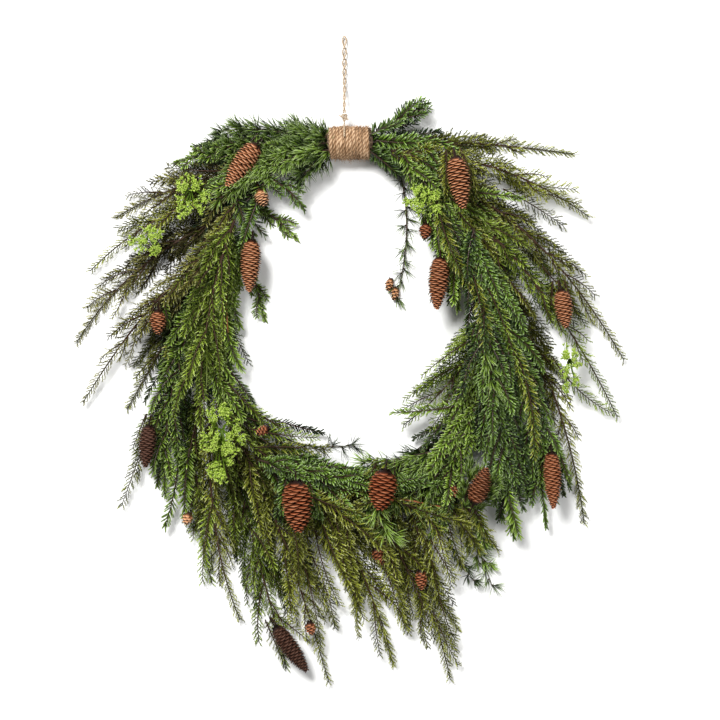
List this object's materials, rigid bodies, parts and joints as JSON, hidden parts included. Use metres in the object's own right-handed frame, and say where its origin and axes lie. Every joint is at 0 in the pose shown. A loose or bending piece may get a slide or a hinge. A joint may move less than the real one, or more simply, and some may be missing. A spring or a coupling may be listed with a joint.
{
  "type": "fresh evergreen wreath",
  "caption": "Ring wreath of cypress, fir and pine sprays with spruce cones and green seed heads, bound at the top with jute and hung by a jute loop.",
  "frame": {"origin": "on the surface that the wreath lies on, under the middle of its outline without the hanger", "axes": "+Z out of the wreath's front (up as it lies), +Y from its middle towards the binding and the hanger, +X to the right seen from the front"},
  "size_m": [0.7776, 0.9143, 0.1022],
  "materials": {
    "cypress_foliage": "matt olive-green scale leaves",
    "fir_foliage": "slightly glossy dark green needles",
    "pine_foliage": "fine matt green needles",
    "bark": "rough brown bark",
    "cone_brown": "dry red-brown scales with paler rims",
    "cone_dark": "dry dark brown scales",
    "seed_head": "bright yellow-green buds",
    "jute": "twisted natural jute",
    "painted_wire": "dark green painted wire",
    "tie_wire": "thin green florist's wire"
  },
  "bodies": {
    "root": {"frame_ring": "painted_wire", "tie_wire": "tie_wire", "jute_binding": "jute", "stem_bundle": "bark", "hanger_tie": "jute", "hanger_knot": "jute", "hanger_loop": "jute", "cypress_spray_bottom_1": "cypress_foliage", "cypress_spray_bottom_2": "cypress_foliage", "cypress_spray_low_left_3": "cypress_foliage", "cypress_spray_right_5": "cypress_foliage", "cypress_spray_right_3": "cypress_foliage", "cypress_spray_left_3": "cypress_foliage", "cypress_spray_left_5": "cypress_foliage", "cypress_spray_left_1": "cypress_foliage", "cypress_spray_right_1": "cypress_foliage", "cypress_spray_inner_right": "cypress_foliage", "fir_spray_low_right": "fir_foliage", "cypress_spray_low_left_4": "cypress_foliage", "cypress_spray_low_left_2": "cypress_foliage", "pine_spray_bottom": "pine_foliage", "pine_twig_bottom": "pine_foliage", "fir_spray_bottom": "fir_foliage", "cypress_spray_low_left_1": "cypress_foliage", "fir_spray_left_low": "fir_foliage", "cypress_spray_left_4": "cypress_foliage", "cypress_spray_left_2": "cypress_foliage", "cypress_spray_right_4": "cypress_foliage", "fir_spray_right_1": "fir_foliage", "cypress_spray_right_2": "cypress_foliage", "fir_sprig_left_3": "fir_foliage", "fir_spray_left_inner": "fir_foliage", "fir_sprig_left_2": "fir_foliage", "larch_twig_inner": "pine_foliage", "fir_spray_right_3": "fir_foliage", "fir_spray_right_2": "fir_foliage", "fir_spray_upper_left": "fir_foliage", "fir_sprig_left_1": "fir_foliage", "cypress_spray_left_6": "cypress_foliage", "pine_spray_top_left": "pine_foliage", "fir_sprig_top_right": "fir_foliage", "cone_upper_left": "cone_brown", "cone_inner_left": "cone_brown", "cone_outer_left": "cone_brown", "cone_low_left": "cone_dark", "cone_small_left": "cone_brown", "cone_upper_right": "cone_brown", "cone_inner_right": "cone_brown", "cone_small_right": "cone_brown", "cone_outer_right": "cone_brown", "cone_bottom_left": "cone_brown", "cone_bottom_middle": "cone_brown", "cone_bottom_right": "cone_brown", "cone_low_right": "cone_brown", "cone_hanging": "cone_dark", "seed_head_upper_left": "seed_head", "seed_head_outer_left": "seed_head", "seed_head_upper_right": "seed_head", "seed_head_low_left": "seed_head", "seed_head_outer_right": "seed_head"}
  },
  "joints": []
}
